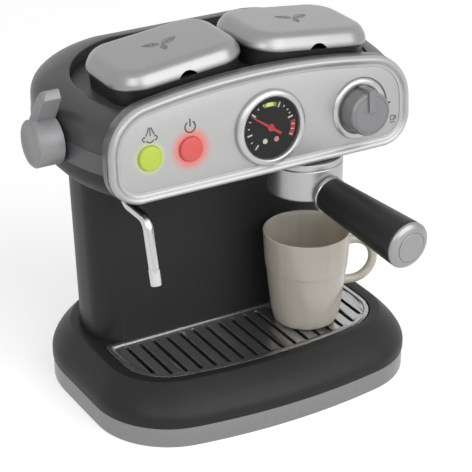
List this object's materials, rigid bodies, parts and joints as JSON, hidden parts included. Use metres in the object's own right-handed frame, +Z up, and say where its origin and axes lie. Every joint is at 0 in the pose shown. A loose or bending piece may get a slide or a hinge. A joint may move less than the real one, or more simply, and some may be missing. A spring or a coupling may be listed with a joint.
{
  "type": "toy coffee maker",
  "caption": "Toy espresso machine with lifting lids, push buttons, gauge, selector knob, steam lever and wand, turning portafilter, lift-off drip grille and a mug.",
  "frame": {"origin": "middle of the base on the surface it stands on", "axes": "+X to the right of someone facing the control panel, -Y towards them, +Z up"},
  "size_m": [0.2546, 0.2323, 0.2482],
  "materials": {
    "silver_paint": "silver painted plastic, satin gloss",
    "silver_panel": "silver painted plastic with fine metallic flake",
    "silver_grille": "bright silver painted plastic, glossy",
    "black_satin": "black plastic, satin gloss",
    "black_underside": "black plastic, fine matt texture",
    "black_inner": "black plastic, matt",
    "black_insert": "black plastic, satin",
    "black_grip": "black plastic, smooth satin",
    "charcoal_gloss": "charcoal metallic paint, glossy",
    "grey_band": "dark grey metallic paint",
    "grey_frame": "grey plastic, satin",
    "grey_knob": "grey metallic paint, satin",
    "grey_lever": "grey metallic paint, satin",
    "group_grey": "gun metal plated plastic, glossy",
    "green_button": "translucent green plastic, lit from behind",
    "red_button": "translucent red plastic, lit from behind",
    "wand_chrome": "chrome plated, polished",
    "screw_steel": "zinc plated steel",
    "battery_wrap": "plain shrink wrap",
    "clear_tank": "clear pale plastic",
    "smoke_hopper": "smoky clear plastic",
    "clear_lens": "clear polished plastic",
    "hose_clear": "soft milky tube",
    "board_green": "green laminate",
    "lamp_white": "lamp lens",
    "dial_face": "black dial with printed ticks",
    "needle_red": "red painted",
    "pump_grey": "grey plastic",
    "mug_cream": "warm silver-grey pearlescent plastic, glossy"
  },
  "bodies": {
    "machine": {"base_rim": "silver_paint", "base_shell": "black_satin", "base_plate": "black_underside", "battery_box": "black_inner", "battery_cells": "battery_wrap", "battery_door": "black_underside", "base_screws": "screw_steel", "drip_tray": "black_inner", "tower_shell": "black_satin", "rear_cover": "black_satin", "rear_screws": "screw_steel", "head_bowl": "black_satin", "side_band": "grey_band", "head_crown": "charcoal_gloss", "top_insert": "black_insert", "hinge_pins": "screw_steel", "water_tank": "clear_tank", "bean_hopper": "smoke_hopper", "panel_frame": "grey_frame", "control_panel": "silver_panel", "button_board": "board_green", "button_lamps": "lamp_white", "gauge_bezel": "silver_panel", "gauge_dial": "dial_face", "gauge_lamps": "lamp_white", "gauge_lens": "clear_lens", "knob_ring": "silver_panel", "lever_boss": "black_inner", "wand_socket": "black_inner", "group_head": "group_grey", "tower_posts": "black_inner", "main_board": "board_green", "speaker": "black_inner", "water_pump": "pump_grey", "tank_hose": "hose_clear", "group_hose": "hose_clear"},
    "steam_wand": {"steam_wand": "wand_chrome", "wand_nozzle": "wand_chrome"},
    "portafilter": {"portafilter_bowl": "group_grey", "portafilter_collar": "wand_chrome", "portafilter_grip": "black_grip", "grip_end_cap": "silver_paint"},
    "lid_left": {"lid_left": "silver_paint"},
    "lid_right": {"lid_right": "silver_paint"},
    "steam_button": {"steam_button": "green_button"},
    "power_button": {"power_button": "red_button"},
    "selector_knob": {"selector_knob": "grey_knob"},
    "steam_lever": {"steam_lever": "grey_lever"},
    "gauge_needle": {"gauge_needle": "needle_red"},
    "drip_grille": {"drip_grille": "silver_grille"},
    "mug": {"mug": "mug_cream"}
  },
  "joints": [
    {"name": "lid_left_hinge", "type": "hinge", "parent": "machine", "child": "lid_left", "pos_m": [-0.04752, 0.023, 0.23658], "axis": [-0.9942, 0, -0.108], "range_deg": [0, 70]},
    {"name": "lid_right_hinge", "type": "hinge", "parent": "machine", "child": "lid_right", "pos_m": [0.04752, 0.023, 0.23658], "axis": [-0.9942, 0, 0.108], "range_deg": [0, 70]},
    {"name": "steam_button_press", "type": "slide", "parent": "machine", "child": "steam_button", "axis": [0, 0.9976, -0.0698], "range_m": [0, 0.0015], "stiffness_N_per_m": 300},
    {"name": "power_button_press", "type": "slide", "parent": "machine", "child": "power_button", "axis": [0, 0.9976, -0.0698], "range_m": [0, 0.0015], "stiffness_N_per_m": 300},
    {"name": "selector_knob_turn", "type": "hinge", "parent": "machine", "child": "selector_knob", "pos_m": [0.071, -0.04294, 0.19193], "axis": [0, -0.9976, 0.0698], "range_deg": [-120, 120]},
    {"name": "gauge_needle_turn", "type": "hinge", "parent": "machine", "child": "gauge_needle", "pos_m": [0.0035, -0.04284, 0.19342], "axis": [0, -0.9976, 0.0698], "range_deg": [-180, 40]},
    {"name": "steam_lever_turn", "type": "hinge", "parent": "machine", "child": "steam_lever", "pos_m": [-0.119, 0.004, 0.1915], "axis": [1, 0, 0], "range_deg": [0, 80]},
    {"name": "steam_wand_swing", "type": "hinge", "parent": "machine", "child": "steam_wand", "pos_m": [-0.0845, -0.021, 0.158], "axis": [0, 0, 1], "range_deg": [-60, 20]},
    {"name": "portafilter_turn", "type": "hinge", "parent": "machine", "child": "portafilter", "pos_m": [0.0435, -0.031, 0.155], "axis": [0, 0, 1], "range_deg": [-60, 0]},
    {"name": "drip_grille_lift", "type": "slide", "parent": "machine", "child": "drip_grille", "axis": [0, 0, 1], "range_m": [0, 0.008]},
    {"name": "mug_lift", "type": "slide", "parent": "drip_grille", "child": "mug", "axis": [0, 0, 1], "range_m": [0, 0.012]}
  ]
}
